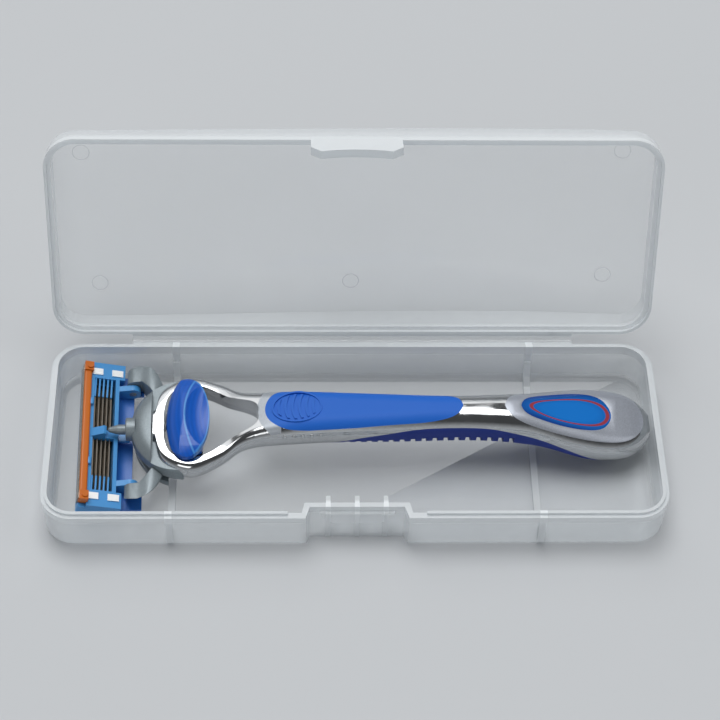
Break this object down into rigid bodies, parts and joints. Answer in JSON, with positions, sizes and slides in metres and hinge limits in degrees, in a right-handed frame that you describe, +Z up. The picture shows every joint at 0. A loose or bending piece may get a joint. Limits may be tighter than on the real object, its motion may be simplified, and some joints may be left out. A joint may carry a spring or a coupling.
{
  "type": "shaver storage box",
  "caption": "Clear moulded storage box with a hinged lid and a front snap latch, stowing a wet razor with a push-button cartridge release and a sprung pivoting head.",
  "frame": {"origin": "middle of the tray's underside", "axes": "+X along the box from the razor's cartridge towards its tail, +Y towards the hinge, +Z up"},
  "size_m": [0.157, 0.0849, 0.0709],
  "materials": {
    "clear_polypropylene": "natural translucent moulding, slightly hazy",
    "polished_chrome": "mirror plated",
    "blue_elastomer": "soft satin",
    "dark_blue_elastomer": "soft matte",
    "grey_margin": "fine satin",
    "silver_satin": "metallic satin",
    "blue_lens": "domed gloss",
    "grey_satin": "metallic satin",
    "blue_button": "smooth semi-gloss",
    "dark_plastic": "moulded",
    "spring_steel": "drawn wire",
    "cartridge_blue": "moulded satin",
    "guard_blue": "moulded satin",
    "fin_rubber": "soft matte",
    "blade_steel": "ground",
    "support_steel": "stamped",
    "clip_metal": "bright satin",
    "trimmer_orange": "semi-gloss",
    "strip_polymer": "waxy"
  },
  "bodies": {
    "tray": {"base_tray": "clear_polypropylene", "hinge_web": "clear_polypropylene"},
    "lid": {"lid": "clear_polypropylene"},
    "handle": {"handle_frame": "polished_chrome", "front_grip": "blue_elastomer", "grip_surround": "grey_margin", "rear_grip": "dark_blue_elastomer", "tail_bezel": "silver_satin", "tail_lens": "blue_lens", "head_shell": "grey_satin", "docking_nose": "grey_satin", "plunger_bush": "grey_satin", "button_spring": "spring_steel", "plunger_spring": "spring_steel"},
    "button": {"eject_button": "blue_button", "ejector_slider": "dark_plastic"},
    "plunger": {"plunger": "grey_satin"},
    "yoke": {"yoke": "grey_satin"},
    "cartridge": {"cartridge_frame": "cartridge_blue", "guard_base": "guard_blue", "guard_fins": "fin_rubber", "far_clip": "clip_metal", "near_clip": "clip_metal", "trimmer_holder": "trimmer_orange", "trimmer_blade": "blade_steel", "lubricating_strip": "strip_polymer", "blade_1": "blade_steel", "blade_2": "blade_steel", "blade_3": "blade_steel", "blade_4": "blade_steel", "blade_5": "blade_steel", "blade_support_1": "support_steel", "blade_support_2": "support_steel", "blade_support_3": "support_steel", "blade_support_4": "support_steel", "blade_support_5": "support_steel"}
  },
  "joints": [
    {"name": "lid_hinge", "type": "hinge", "parent": "tray", "child": "lid", "pos_m": [0, 0.02985, 0.0126], "axis": [-1, 0, 0], "range_deg": [-108.7, 71.3], "deforming": ["hinge_web"]},
    {"name": "razor_lift", "type": "slide", "parent": "tray", "child": "handle", "axis": [0, 0, 1], "range_m": [0, 0.06]},
    {"name": "button_push", "type": "slide", "parent": "handle", "child": "button", "axis": [-0.9998, -0.0195, 0], "range_m": [0, 0.003], "stiffness_N_per_m": 400, "deforming": ["button_spring"]},
    {"name": "cartridge_release", "type": "slide", "parent": "handle", "child": "yoke", "axis": [-0.9998, -0.0195, 0], "range_m": [0, 0.003]},
    {"name": "cartridge_pivot", "type": "hinge", "parent": "yoke", "child": "cartridge", "pos_m": [-0.05718, 0.00117, 0.00697], "axis": [-0.0195, 0.996, 0.0872], "range_deg": [0, 15], "stiffness_Nm_per_rad": 0.02},
    {"name": "plunger_push", "type": "slide", "parent": "handle", "child": "plunger", "axis": [0.9998, 0.0195, 0], "range_m": [0, 0.0015], "deforming": ["plunger_spring"]}
  ],
  "couplings": [
    {"joint": "plunger_push", "follows": "cartridge_pivot", "m_per_rad": 0.0057}
  ]
}
